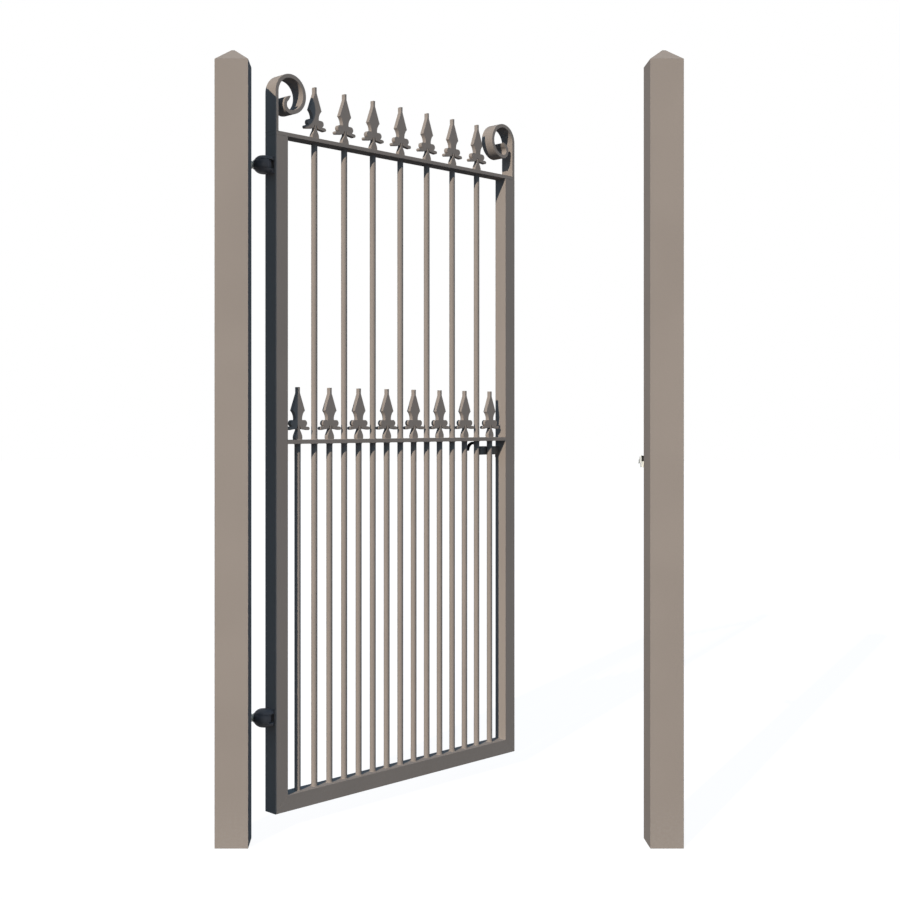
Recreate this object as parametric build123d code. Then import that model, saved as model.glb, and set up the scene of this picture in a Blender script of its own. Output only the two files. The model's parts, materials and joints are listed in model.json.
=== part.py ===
from build123d import *
import os
from math import atan2, degrees, radians, tan

# A metal side gate: one welded leaf with spear-topped bars, hung on a square post and latched to another.
# Lengths are in millimetres and angles in degrees. The origin is the middle of the hinge post's foot,
# +X runs across the gateway to the latch post, +Y is the side that the leaf opens to, and +Z is up.

os.makedirs("parts", exist_ok=True)

# Gateway
opening_width = 955.0
rest_opening = 44.0

# Posts and their pyramid caps
post_width = 80.0
post_wall = 4.0
post_corner_radius = 3.0
post_height = 1876.5
post_foot_thickness = 6.0
cap_rise = 31.0
cap_tip_width = 4.0
cap_wall_rise = 5.0

# Leaf frame: square tube for the stiles and bottom rail, flat bar for the other rails and the scrolls
leaf_ground_clearance = 49.0
frame_section = 40.0
frame_wall = 3.0
frame_corner_radius = 2.0
flat_thickness = 10.0
mid_rail_rise = 919.6
top_rail_rise = 1681.4
latch_gap = 5.0

# Bars
bar_diameter = 16.0
full_bar_count = 7
bar_end_space_share = 1.01
bar_hole_clearance = 0.2

# Spearheads, cut from flat plate
spear_height = 132.3
spear_width_share = 0.687
spear_thickness = 12.0
spear_stub_height_share = 0.89
spear_blade_height_share = 0.555
spear_curve_height_share = 0.465
spear_waist_height_share = 0.375
spear_petal_height_share = 0.214
spear_petal_root_height_share = 0.234
spear_neck_height_share = 0.21
spear_scoop_height_share = 0.135
spear_shoulder_height_share = 0.075
spear_foot_height_share = 0.032
spear_stub_width_share = 0.044
spear_blade_width_share = 0.28
spear_curve_width_share = 0.166
spear_waist_width_share = 0.147
spear_lobe_width_share = 0.265
spear_lobe_radius_share = 0.118
spear_petal_width_share = 0.441
spear_petal_root_width_share = 0.13
spear_petal_radius_share = 0.059
spear_neck_width_share = 0.037
spear_scoop_width_share = 0.068
spear_shoulder_width_share = 0.125
spear_foot_width_share = 0.155

# Scrolls on the ends of the top rail
scroll_rise = 97.0
scroll_radius = 49.5
scroll_turn = 270.0
curl_radius = 22.5
curl_turn = 180.0
curl_inner_turn = 150.0

# Hinges: an eyebolt in a bracket on the back of the post, a clevis on the stile and a pin through both
hinge_offset = 28.0
hinge_setback = 67.5
stile_offset = 20.0
upper_hinge_drop = 85.4
lower_hinge_rise = 237.9
pin_diameter = 10.0
pin_clearance = 0.1
pin_head_diameter = 18.0
pin_head_height = 4.0
pin_tail_length = 3.0
eye_diameter = 28.0
eye_height = 21.0
eye_side_clearance = 0.5
eye_shoulder_start = 6.0
eye_shoulder_back = 8.0
lug_thickness = 10.0
lug_radius = 20.0
lug_chamfer = 6.0
clevis_back_thickness = 5.0
stud_diameter = 12.0
lock_nut_diameter = 20.0
lock_nut_thickness = 8.0
lock_nut_sides = 6
stud_tail = 6.0
bracket_thickness = 10.0
bracket_height = 32.0
bracket_edge = 8.0

# Latch: a drop bar on a pivot behind the leaf, its carrier plate, and the keep behind the latch post
latch_drop = 28.4
latch_bar_height = 24.0
latch_bar_thickness = 8.0
latch_bar_clearance = 5.0
latch_pivot_setback = 43.0
latch_pivot_diameter = 10.0
latch_pivot_clearance = 0.1
latch_boss_diameter = 16.0
latch_side_clearance = 0.3
latch_head_diameter = 18.0
latch_head_thickness = 4.0
latch_nose_height = 16.0
latch_nose_reach = 14.0
carrier_thickness = 7.0
carrier_bar_clearance = 0.3
carrier_reach = 39.0
stop_setback = 14.0
stop_width = 12.0
stop_height = 9.0
stop_clearance = 0.3
tail_radius = 21.0
tail_thickness = 5.0
tail_centre_back = 45.0
tail_tip_angle = 178.0
tail_root_angle = 5.0
keep_height = 29.0
keep_inset = 4.0
keep_length = 18.0
keep_arm_inset = 9.0
keep_ear_thickness = 5.0
keep_bar_clearance = 3.0
keep_floor_gap = 6.0
keep_bite = 12.0
keep_ramp_angle = 35.0
keep_ramp_rise = 17.0
keep_ramp_thickness = 4.0
keep_ramp_land = 3.0
buffer_width = 5.0
buffer_height = 14.0
buffer_edge = 2.0
buffer_stand_out = 1.5

# Values worked out from the sizes above, in the leaf's own frame: the hinge axis is its Z axis,
# the leaf runs along +X, and +Y is the back of the leaf.
half_post = post_width / 2
half_frame = frame_section / 2
bar_radius = bar_diameter / 2
axis_x = half_post + hinge_offset
post_face_x = opening_width - hinge_offset
leaf_start = stile_offset
leaf_end = post_face_x - latch_gap
inner_start = leaf_start + frame_section
inner_end = leaf_end - frame_section
bar_pitch = (inner_end - inner_start) / (full_bar_count - 1 + 2 * bar_end_space_share)
spear_width = bar_pitch * spear_width_share
rail_bottom = leaf_ground_clearance
rail_top = rail_bottom + frame_section
mid_rail_top = rail_bottom + mid_rail_rise
mid_rail_bottom = mid_rail_top - flat_thickness
top_rail_top = rail_bottom + top_rail_rise
top_rail_bottom = top_rail_top - flat_thickness
hinge_heights = {"upper": top_rail_top - upper_hinge_drop, "lower": rail_bottom + lower_hinge_rise}
latch_height = mid_rail_bottom - latch_drop


def placed_on_leaf(shape):
    """Swing a shape from the closed leaf's frame to the part-open leaf."""
    return Pos(axis_x, hinge_setback, 0) * Rot(0, 0, rest_opening) * shape


def square_tube(width, wall, corner_radius, length):
    """A square tube along +Z from Z = 0."""
    outside = RectangleRounded(width, width, corner_radius)
    inside_width = width - 2 * wall
    return extrude(outside - Rectangle(inside_width, inside_width), amount=length)


def slab(low, high):
    """A box from its low corner to its high corner."""
    size = Vector(*high) - Vector(*low)
    corner = (Align.MIN, Align.MIN, Align.MIN)
    return Pos(*low) * Box(size.X, size.Y, size.Z, align=corner)


def upright(diameter, x, low, high):
    """A round bar in the leaf's plane."""
    return Pos(x, 0, low) * extrude(Circle(diameter / 2), amount=high - low)


def post():
    """A square post: a tube closed at the foot by a welded plate."""
    tube = square_tube(post_width, post_wall, post_corner_radius, post_height)
    foot = extrude(RectangleRounded(post_width, post_width, post_corner_radius), amount=post_foot_thickness)
    return tube + foot


def pyramid(base_width, rise):
    """A square pyramid with a small flat tip."""
    slope = degrees(atan2((base_width - cap_tip_width) / 2, rise))
    return extrude(Rectangle(base_width, base_width), amount=rise, taper=slope)


def post_cap():
    """A hollow pyramid cap, flush with the post's sides."""
    rounded = extrude(RectangleRounded(post_width, post_width, post_corner_radius), amount=cap_rise)
    shell = pyramid(post_width, cap_rise) & rounded
    shell -= pyramid(post_width - 2 * post_wall, cap_rise - cap_wall_rise)
    return Pos(0, 0, post_height) * shell


def stile(outer_x, inner_x):
    """A stile, mitred at the foot from its outer corner up to the bottom rail's top."""
    tube = square_tube(frame_section, frame_wall, frame_corner_radius, top_rail_bottom - rail_bottom)
    tube = Pos((outer_x + inner_x) / 2, 0, rail_bottom) * tube
    waste = Polyline((outer_x, rail_bottom), (inner_x, rail_bottom), (inner_x, rail_top), close=True)
    return tube - extrude(Plane.XZ * make_face(waste), amount=frame_section, both=True)


def bottom_rail():
    """The bottom rail, mitred at both ends to meet the stiles."""
    tube = square_tube(frame_section, frame_wall, frame_corner_radius, leaf_end - leaf_start)
    tube = Pos(leaf_start, 0, rail_bottom + half_frame) * Rot(0, 90, 0) * tube
    outline = Polyline(
        (leaf_start, rail_bottom),
        (leaf_end, rail_bottom),
        (inner_end, rail_top),
        (inner_start, rail_top),
        close=True,
    )
    return tube & extrude(Plane.XZ * make_face(outline), amount=frame_section, both=True)


def full_bar_places():
    """The full-height bars, evenly spaced between shorter end spaces."""
    first = inner_start + bar_pitch * bar_end_space_share
    return [first + bar_pitch * index for index in range(full_bar_count)]


def dog_bar_places():
    """The short bars, each in the middle of a clear gap between the full bars or stiles."""
    full = full_bar_places()
    left_sides = [inner_start] + [x + bar_radius for x in full]
    right_sides = [x - bar_radius for x in full] + [inner_end]
    return [(left + right) / 2 for left, right in zip(left_sides, right_sides)]


def mid_rail():
    """The flat mid rail, drilled for the full-height bars."""
    rail = slab((inner_start, -half_frame, mid_rail_bottom), (inner_end, half_frame, mid_rail_top))
    for x in full_bar_places():
        rail -= upright(bar_diameter + 2 * bar_hole_clearance, x, mid_rail_bottom, mid_rail_top)
    return rail


def spear_point(width_share, height_share):
    """A point on the right half of a spearhead's outline."""
    return (spear_width * width_share, spear_height * height_share)


def spear_half():
    """The right half of a spearhead: stepped foot, scooped neck, petal, lobe and blade."""
    waist = spear_point(spear_waist_width_share, spear_waist_height_share)
    blade_curve = spear_point(spear_curve_width_share, spear_curve_height_share)
    widest = spear_point(spear_blade_width_share, spear_blade_height_share)
    stub = spear_point(spear_stub_width_share, spear_stub_height_share)
    stub_top = (stub[0], spear_height)
    foot = spear_point(spear_foot_width_share, spear_foot_height_share)
    shoulder = spear_point(spear_shoulder_width_share, spear_shoulder_height_share)
    scoop = spear_point(spear_scoop_width_share, spear_scoop_height_share)
    neck = spear_point(spear_neck_width_share, spear_neck_height_share)
    lobe_radius = spear_width * spear_lobe_radius_share
    lobe = (spear_width * spear_lobe_width_share, waist[1] - lobe_radius)
    petal = spear_point(spear_petal_width_share, spear_petal_height_share)
    petal_root = spear_point(spear_petal_root_width_share, spear_petal_root_height_share)
    petal_width = 2 * spear_width * spear_petal_radius_share
    blade = [ThreePointArc(waist, blade_curve, widest)]
    blade += [Polyline(widest, stub, stub_top, (0, spear_height), (0, waist[1]), waist)]
    base = [Polyline((0, neck[1]), (0, 0), (foot[0], 0), foot, shoulder)]
    base += [ThreePointArc(shoulder, scoop, neck), Line(neck, (0, neck[1]))]
    heart_low = petal_root[1]
    heart = Polyline((0, heart_low), (lobe[0], heart_low), (lobe[0], waist[1]), (0, waist[1]), close=True)
    stem = Polyline((0, neck[1]), neck, (neck[0], lobe[1]), (0, lobe[1]), close=True)
    petal_middle = ((petal[0] + petal_root[0]) / 2, (petal[1] + petal_root[1]) / 2)
    half = make_face(blade) + make_face(base) + make_face(heart) + make_face(stem)
    half += Pos(*lobe) * Circle(lobe_radius)
    half += SlotCenterPoint(petal_middle, petal, petal_width)
    return half


def spearheads(places, seat):
    """A row of spearheads on a rail's top."""
    half = extrude(Plane.XZ * spear_half(), amount=spear_thickness / 2, both=True)
    head = half + mirror(half, about=Plane.YZ)
    return Compound([Pos(x, 0, seat) * head for x in places])


def scroll():
    """A scroll in flat bar: straight up from X = 0, a large turn, then a small curl cut to a point."""
    outer = [Line((0, 0), (0, scroll_rise))]
    outer += [JernArc(outer[0] @ 1, (0, 1), scroll_radius, -scroll_turn)]
    outer += [JernArc(outer[1] @ 1, outer[1] % 1, curl_radius, -curl_turn)]
    inner = [Line((flat_thickness, 0), (flat_thickness, scroll_rise))]
    inner += [JernArc(inner[0] @ 1, (0, 1), scroll_radius - flat_thickness, -scroll_turn)]
    inner += [JernArc(inner[1] @ 1, inner[1] % 1, curl_radius - flat_thickness, -curl_inner_turn)]
    ends = [Line(outer[0] @ 0, inner[0] @ 0), Line(outer[2] @ 1, inner[2] @ 1)]
    return extrude(Plane.XZ * make_face(outer + inner + ends), amount=half_frame, both=True)


def eyebolt():
    """A hinge eyebolt, nutted in a bracket on the post's back face, about the hinge axis at Z = 0.

    The shoulder fills the clevis's slot on the post side, so the shut hinge looks like one ball.
    """
    along = Plane.YZ
    bracket_x = -hinge_offset - bracket_thickness
    stud_start = bracket_x - lock_nut_thickness - stud_tail
    stud = Pos(stud_start, 0, 0) * extrude(along * Circle(stud_diameter / 2), amount=-stud_start)
    nut = extrude(along * RegularPolygon(lock_nut_diameter / 2, lock_nut_sides), amount=lock_nut_thickness)
    nuts = Pos(-hinge_offset, 0, 0) * nut + Pos(bracket_x - lock_nut_thickness, 0, 0) * nut
    bracket_low = (bracket_x, half_post - hinge_setback, -bracket_height / 2)
    bracket = slab(bracket_low, (-hinge_offset, stud_diameter / 2 + bracket_edge, bracket_height / 2))
    eye = extrude(Circle(eye_diameter / 2), amount=eye_height / 2, both=True)
    shoulder_low = (-lug_radius, -lug_radius, -eye_height / 2)
    shoulder_high = (-eye_shoulder_start, eye_shoulder_back, eye_height / 2)
    ball = extrude(Circle(lug_radius), amount=eye_height / 2, both=True)
    shoulder = ball & slab(shoulder_low, shoulder_high)
    hole = extrude(Circle(pin_diameter / 2 + pin_clearance), amount=eye_height, both=True)
    return bracket + stud + nuts + eye + shoulder - hole


def clevis():
    """A hinge clevis on the stile: two rounded lugs about the pin, open towards the post."""
    slot_height = eye_height + 2 * eye_side_clearance
    body_height = slot_height + 2 * lug_thickness
    cheeks = Pos(leaf_start / 2, 0) * Rectangle(leaf_start, 2 * lug_radius)
    body = extrude(cheeks + Circle(lug_radius), amount=body_height / 2, both=True)
    rims = body.faces().sort_by(Axis.Z)
    back = body.faces().sort_by(Axis.X)[-1]
    kept = back.edges()
    edges = [edge for edge in rims[0].edges() + rims[-1].edges() if edge not in kept]
    body = chamfer(edges, lug_chamfer)
    slot_back = leaf_start - clevis_back_thickness
    slot_low = (-2 * lug_radius, -2 * lug_radius, -slot_height / 2)
    body -= slab(slot_low, (slot_back, 2 * lug_radius, slot_height / 2))
    return body - extrude(Circle(pin_diameter / 2 + pin_clearance), amount=body_height, both=True)


def hinge_pin():
    """A headed hinge pin, its head on the clevis's top lug."""
    top = eye_height / 2 + eye_side_clearance + lug_thickness
    shank = upright(pin_diameter, 0, -top - pin_tail_length, top)
    return shank + upright(pin_head_diameter, 0, top, top + pin_head_height)


# The latch, in the leaf's frame
bar_front_y = half_frame + latch_bar_clearance
bar_back_y = bar_front_y + latch_bar_thickness
bar_low_z = latch_height - latch_bar_height / 2
bar_high_z = latch_height + latch_bar_height / 2
pivot_x = inner_end - latch_pivot_setback
carrier_front_y = bar_radius + carrier_bar_clearance
carrier_back_y = carrier_front_y + carrier_thickness
nose_x = post_face_x + latch_nose_reach


def across_leaf(diameter, front, back):
    """A round piece through the latch pivot, from one depth of the leaf to another."""
    disc = Plane.XZ * Circle(diameter / 2)
    return Pos(pivot_x, back, latch_height) * extrude(disc, amount=back - front)


def latch_carrier():
    """The plate that carries the latch, with its pivot boss and riveted pin."""
    plate_low = (pivot_x - carrier_reach, carrier_front_y, bar_low_z)
    plate = slab(plate_low, (inner_end, carrier_back_y, bar_high_z))
    boss = across_leaf(latch_boss_diameter, carrier_front_y, bar_front_y - latch_side_clearance)
    shank = across_leaf(latch_pivot_diameter, carrier_front_y, bar_back_y + latch_side_clearance)
    head_front = bar_back_y + latch_side_clearance
    head = across_leaf(latch_head_diameter, head_front, head_front + latch_head_thickness)
    return plate + boss + shank + head


def latch_stop():
    """The lug on the back of the latch stile that the drop bar rests on."""
    stop_x = inner_end + stop_setback
    stop_top = bar_low_z - stop_clearance
    stop_low = (stop_x, half_frame, stop_top - stop_height)
    return slab(stop_low, (stop_x + stop_width, bar_back_y, stop_top))


def latch_lever():
    """The drop bar: a flat bar to the keep, with a curved finger tail."""
    bar_top = latch_bar_height / 2
    bar_start = tail_radius - tail_centre_back
    bar_length = nose_x - pivot_x
    stile_reach = inner_end - pivot_x
    bar = make_face(Polyline(
        (bar_start, -bar_top),
        (bar_length, -bar_top),
        (bar_length, latch_nose_height - bar_top),
        (stile_reach, bar_top),
        (bar_start, bar_top),
        close=True,
    ))
    ring = Circle(tail_radius + tail_thickness / 2) - Circle(tail_radius - tail_thickness / 2)
    reach = 2 * tail_radius
    root_corner = (reach, reach * tan(radians(tail_root_angle)))
    tip_corner = (-reach, -reach * tan(radians(tail_tip_angle)))
    sector = make_face(Polyline((0, 0), root_corner, (reach, reach), (-reach, reach), tip_corner, close=True))
    tail = Pos(-tail_centre_back, 0) * (ring & sector)
    outline = bar + tail - Circle(latch_pivot_diameter / 2 + latch_pivot_clearance)
    lever = extrude(Plane.XZ * outline, amount=latch_bar_thickness)
    return Pos(pivot_x, bar_back_y, latch_height) * lever


# The keep, on an arm from the latch post's back face
keep_top = bar_low_z + keep_bite
keep_bottom = keep_top - keep_height
keep_slot_front = hinge_setback + bar_front_y - keep_bar_clearance
keep_slot_back = hinge_setback + bar_back_y + keep_bar_clearance
keep_front = keep_slot_front - keep_ear_thickness
keep_back = keep_slot_back + keep_ear_thickness
keep_tip_x = half_post + opening_width + keep_inset
keep_end_x = keep_tip_x + keep_length
buffer_x = keep_tip_x + buffer_edge


def keep():
    """The keep: a notched catch with two ears, a floor and a ramp that lifts the closing bar."""
    ramp_run = keep_ramp_rise / tan(radians(keep_ramp_angle))
    ramp_foot = (keep_slot_back + keep_ramp_land + ramp_run, keep_top - keep_ramp_rise)
    ramp_end = (ramp_foot[0], ramp_foot[1] - keep_ramp_thickness)
    ramp_root_drop = (ramp_foot[0] - keep_back) * tan(radians(keep_ramp_angle))
    floor_z = bar_low_z - keep_floor_gap
    profile = Polyline(
        (keep_front, keep_bottom),
        (keep_front, keep_top),
        (keep_slot_front, keep_top),
        (keep_slot_front, floor_z),
        (keep_slot_back, floor_z),
        (keep_slot_back, keep_top),
        (keep_slot_back + keep_ramp_land, keep_top),
        ramp_foot,
        ramp_end,
        (keep_back, ramp_end[1] + ramp_root_drop),
        (keep_back, keep_bottom),
        close=True,
    )
    catch = Pos(keep_tip_x, 0, 0) * extrude(Plane.YZ * make_face(profile), amount=keep_length)
    arm_low = (keep_tip_x + keep_arm_inset, half_post, keep_bottom)
    arm = slab(arm_low, (keep_end_x, keep_slot_front, keep_top))
    notch_low = (buffer_x, keep_front, keep_top - buffer_height)
    notch = slab(notch_low, (buffer_x + buffer_width, keep_slot_front, keep_top))
    return catch + arm - notch


def keep_buffer():
    """The rubber buffer in the keep's front ear, which the latch bar closes against."""
    low = (buffer_x, keep_front, keep_top - buffer_height)
    return slab(low, (buffer_x + buffer_width, keep_slot_front + buffer_stand_out, keep_top))


def save(name, shape):
    export_step(shape, f"parts/{name}.step")


# Posts
latch_post_place = Pos(post_width + opening_width, 0, 0)
save("hinge_post", post())
save("hinge_post_cap", post_cap())
save("latch_post", latch_post_place * post())
save("latch_post_cap", latch_post_place * post_cap())

# Hinges
for place, height in hinge_heights.items():
    save(f"{place}_hinge_eyebolt", Pos(axis_x, hinge_setback, height) * eyebolt())
    save(f"{place}_hinge_clevis", placed_on_leaf(Pos(0, 0, height) * clevis()))
    save(f"{place}_hinge_pin", placed_on_leaf(Pos(0, 0, height) * hinge_pin()))

# Leaf frame
save("hinge_stile", placed_on_leaf(stile(leaf_start, inner_start)))
save("latch_stile", placed_on_leaf(stile(leaf_end, inner_end) + latch_stop()))
save("bottom_rail", placed_on_leaf(bottom_rail()))
save("mid_rail", placed_on_leaf(mid_rail()))
top_rail_low = (leaf_start, -half_frame, top_rail_bottom)
save("top_rail", placed_on_leaf(slab(top_rail_low, (leaf_end, half_frame, top_rail_top))))
hinge_scroll = Pos(leaf_start, 0, top_rail_top) * scroll()
latch_scroll = Pos(leaf_end, 0, top_rail_top) * mirror(scroll(), about=Plane.YZ)
save("hinge_scroll", placed_on_leaf(hinge_scroll))
save("latch_scroll", placed_on_leaf(latch_scroll))

# Bars and spearheads
for number, x in enumerate(full_bar_places(), start=1):
    save(f"full_bar_{number}", placed_on_leaf(upright(bar_diameter, x, rail_top, top_rail_bottom)))
for number, x in enumerate(dog_bar_places(), start=1):
    save(f"dog_bar_{number}", placed_on_leaf(upright(bar_diameter, x, rail_top, mid_rail_bottom)))
save("upper_spearheads", placed_on_leaf(spearheads(full_bar_places(), top_rail_top)))
save("lower_spearheads", placed_on_leaf(spearheads(dog_bar_places(), mid_rail_top)))

# Latch
save("latch_carrier", placed_on_leaf(latch_carrier()))
save("latch_lever", placed_on_leaf(latch_lever()))
save("latch_keep", keep())
save("keep_buffer", keep_buffer())
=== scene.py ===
# %% [markdown]
# A metal side gate. The CAD frame already holds every solid in its place, in metres: two posts with
# pyramid caps, one welded leaf, two pin hinges, a drop latch and its keep. This lesson adds what the eye
# looks for on the real gate: eased arrises, weld beads, threads, paint and dust. Nothing here moves a CAD
# part.

# %% Load the frame
import json
import math
import random

import bmesh
import bpy
from mathutils import Matrix, Vector


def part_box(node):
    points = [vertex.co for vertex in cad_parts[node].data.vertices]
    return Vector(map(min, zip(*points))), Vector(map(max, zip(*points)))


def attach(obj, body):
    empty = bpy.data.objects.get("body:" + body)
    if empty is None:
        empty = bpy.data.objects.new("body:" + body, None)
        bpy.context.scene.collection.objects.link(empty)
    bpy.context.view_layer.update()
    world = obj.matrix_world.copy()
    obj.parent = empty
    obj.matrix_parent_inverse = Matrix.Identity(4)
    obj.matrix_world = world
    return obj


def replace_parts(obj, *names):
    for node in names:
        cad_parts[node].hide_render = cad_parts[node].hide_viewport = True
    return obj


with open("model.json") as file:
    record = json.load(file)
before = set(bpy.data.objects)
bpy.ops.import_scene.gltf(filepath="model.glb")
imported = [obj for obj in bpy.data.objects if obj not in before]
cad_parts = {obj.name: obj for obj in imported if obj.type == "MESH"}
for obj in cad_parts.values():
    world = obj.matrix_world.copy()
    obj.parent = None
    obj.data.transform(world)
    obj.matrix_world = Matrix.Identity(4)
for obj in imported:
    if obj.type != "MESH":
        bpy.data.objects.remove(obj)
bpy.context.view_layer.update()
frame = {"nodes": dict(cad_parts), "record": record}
nodes = frame["nodes"]

# %% [markdown]
# The camera stands where the picture was taken from: level, a little left of the middle of the gateway
# and about chest high. A level camera keeps the posts upright in the picture, so the framing is done with
# lens shift, the way an architectural photographer does it.

# %% Camera
EYE = Vector((0.36097, -3.19398, 1.01706))
LENS_MM = 53.121
SHIFT = (0.07411, -0.03282)
SENSOR_MM = 36
FAR_CLIP = 60
UPRIGHT = math.radians(90)

camera = bpy.data.objects.new("camera", bpy.data.cameras.new("camera"))
camera.location = EYE
camera.rotation_euler = (UPRIGHT, 0, 0)
camera.data.sensor_width = SENSOR_MM
camera.data.lens = LENS_MM
camera.data.shift_x, camera.data.shift_y = SHIFT
camera.data.clip_end = FAR_CLIP
bpy.context.scene.collection.objects.link(camera)
bpy.context.scene.camera = camera
print("camera", tuple(EYE), "lens", LENS_MM)

# %% [markdown]
# Shader maths reads best as plain arithmetic. This class holds one output of a node, and each operator on
# it adds the Math node that does the sum. Every other kind of node is added by one method: its settings
# go in first, because some of them change which sockets the node has, and then its sockets get values or
# links.

# %% Signals
class Signal:
    """One output socket of a node tree, with arithmetic."""

    def __init__(self, tree, socket):
        self.tree = tree
        self.socket = socket

    def feed(self, place, value):
        if isinstance(value, Signal):
            self.tree.links.new(value.socket, place)
        else:
            place.default_value = value

    def add_node(self, kind, settings=None, sockets=None, output=0):
        node = self.tree.nodes.new(kind)
        for key, value in (settings or {}).items():
            setattr(node, key, value)
        for key, value in (sockets or {}).items():
            self.feed(node.inputs[key], value)
        return Signal(self.tree, node.outputs[output])

    def sum_up(self, operation, *values):
        return self.add_node("ShaderNodeMath", {"operation": operation}, dict(enumerate(values)))

    def __add__(self, other):
        return self.sum_up("ADD", self, other)

    def __sub__(self, other):
        return self.sum_up("SUBTRACT", self, other)

    def __rsub__(self, other):
        return self.sum_up("SUBTRACT", other, self)

    def __mul__(self, other):
        return self.sum_up("MULTIPLY", self, other)

    __radd__ = __add__
    __rmul__ = __mul__

    def between(self, low, high):
        """0 below low, 1 above high, smooth in the middle."""
        sockets = {"Value": self, "From Min": low, "From Max": high}
        return self.add_node("ShaderNodeMapRange", {"interpolation_type": "SMOOTHSTEP"}, sockets)

    def blend_colours(self, first, second):
        """A colour that goes from first to second as this signal goes from 0 to 1."""
        sockets = {0: self, 6: first, 7: second}
        return self.add_node("ShaderNodeMix", {"data_type": "RGBA"}, sockets, output=2)

    def noise(self, scale, detail=2.0, roughness=0.5):
        """Noise at this position, as a value about 0.5."""
        sockets = {"Vector": self, "Scale": scale, "Detail": detail, "Roughness": roughness}
        return self.add_node("ShaderNodeTexNoise", {"noise_dimensions": "3D"}, sockets, output="Fac")


def new_material(name):
    """A material with a Principled surface, and the place on the object as a first signal."""
    material = bpy.data.materials.new(name)
    material.use_nodes = True
    tree = material.node_tree
    surface = tree.nodes["Principled BSDF"]
    place = tree.nodes.new("ShaderNodeTexCoord")
    return material, surface, Signal(tree, place.outputs["Object"])


def raise_grain(surface, height, strength, depth):
    """Feeds a height signal to a surface as a bump. The depth is in metres."""
    sockets = {"Strength": strength, "Distance": depth, "Height": height}
    height.feed(surface.inputs["Normal"], height.add_node("ShaderNodeBump", None, sockets))


def colour(red, green, blue):
    """A colour with full alpha, from linear values."""
    return (red, green, blue, 1.0)


WHITE = colour(1.0, 1.0, 1.0)
BLACK = colour(0.0, 0.0, 0.0)
print("signals ready")

# %% [markdown]
# The light is a plain low sun over the left shoulder with a weak blue sky, which gives the posts' fronts
# a warm face and the turned-away sides a cool one. The sky is a little warmer in front of the gate, where
# there would be lit ground and walls. It is white where the camera looks at it, and where a shiny or
# clear surface mirrors it, so the background is white without more light on the gate.

# %% Sun and sky
SUN_SIDE = math.radians(28.3)
SUN_HEIGHT = math.radians(28.0)
SUN_STRENGTH = 3.48
SUN_COLOUR = (1.0, 0.93, 0.865)
SUN_SPREAD = math.radians(0.5)
SKY_COLOUR = colour(0.150, 0.268, 0.440)
FRONT_COLOUR = colour(0.230, 0.323, 0.440)

towards_sun = Vector((
    -math.sin(SUN_SIDE) * math.cos(SUN_HEIGHT),
    -math.cos(SUN_SIDE) * math.cos(SUN_HEIGHT),
    math.sin(SUN_HEIGHT),
))
sun = bpy.data.objects.new("sun", bpy.data.lights.new("sun", "SUN"))
sun.rotation_mode = "QUATERNION"
sun.rotation_quaternion = towards_sun.to_track_quat("Z", "Y")
sun.data.energy = SUN_STRENGTH
sun.data.color = SUN_COLOUR
sun.data.angle = SUN_SPREAD
bpy.context.scene.collection.objects.link(sun)


def seen_directly(tree):
    """1 for camera, mirror and see-through rays, and 0 for the rays that light the gate."""
    path = tree.nodes.new("ShaderNodeLightPath")
    names = ("Is Camera Ray", "Is Glossy Ray", "Is Transmission Ray")
    camera_ray, glossy_ray, clear_ray = (Signal(tree, path.outputs[name]) for name in names)
    both = camera_ray.sum_up("MAXIMUM", camera_ray, glossy_ray)
    return camera_ray.sum_up("MAXIMUM", both, clear_ray)


world = bpy.data.worlds.new("studio")
world.use_nodes = True
bpy.context.scene.world = world
sky = world.node_tree.nodes["Background"]
shown = seen_directly(world.node_tree)
towards = shown.add_node("ShaderNodeTexCoord", output="Generated")
depth = shown.add_node("ShaderNodeSeparateXYZ", None, {0: towards}, output="Y")
frontal = depth.between(0.0, -1.0)
lighting = frontal.blend_colours(SKY_COLOUR, FRONT_COLOUR)
shown.feed(sky.inputs["Color"], shown.blend_colours(lighting, WHITE))
bpy.context.scene.view_settings.view_transform = "Standard"
print("sun at", [round(c, 3) for c in towards_sun], "strength", SUN_STRENGTH)

# %% [markdown]
# The floor is one wide pale sheet. For the camera it glows almost as bright as the background, so that it
# meets it without a line. The last of its brightness comes from the sun, so the gate's shadow still lies
# on it.

# %% Floor
FLOOR_REACH = 30.0
FLOOR_GLOW = 0.955
FLOOR_TINT = colour(0.125, 0.128, 0.135)

floor_mesh = bpy.data.meshes.new("floor")
corners = [(-FLOOR_REACH, -FLOOR_REACH, 0), (FLOOR_REACH, -FLOOR_REACH, 0)]
corners += [(FLOOR_REACH, FLOOR_REACH, 0), (-FLOOR_REACH, FLOOR_REACH, 0)]
floor_mesh.from_pydata(corners, [], [(0, 1, 2, 3)])
floor = bpy.data.objects.new("floor", floor_mesh)
bpy.context.scene.collection.objects.link(floor)
pale_floor, surface, place = new_material("pale_floor")
glow = seen_directly(place.tree).blend_colours(BLACK, WHITE)
surface.inputs["Base Color"].default_value = FLOOR_TINT
surface.inputs["Roughness"].default_value = 1.0
surface.inputs["Specular IOR Level"].default_value = 0.0
surface.inputs["Emission Strength"].default_value = FLOOR_GLOW
place.feed(surface.inputs["Emission Color"], glow)
floor_mesh.materials.append(pale_floor)
print("floor", 2 * FLOOR_REACH, "m square")

# %% [markdown]
# The gate is powder coated in a plain taupe. Sprayed powder melts into a skin with a faint orange peel, a
# millimetre or two across, so that goes into the bump. The colour hardly changes: a slow drift of a few
# percent over the length of a post, a fine mottle, and a film of pale dust that is thickest near the
# ground and on faces that look up. The coat is given no mirror layer, because the white background would
# show in it as a pale veil on every face seen at a low angle.

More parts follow.
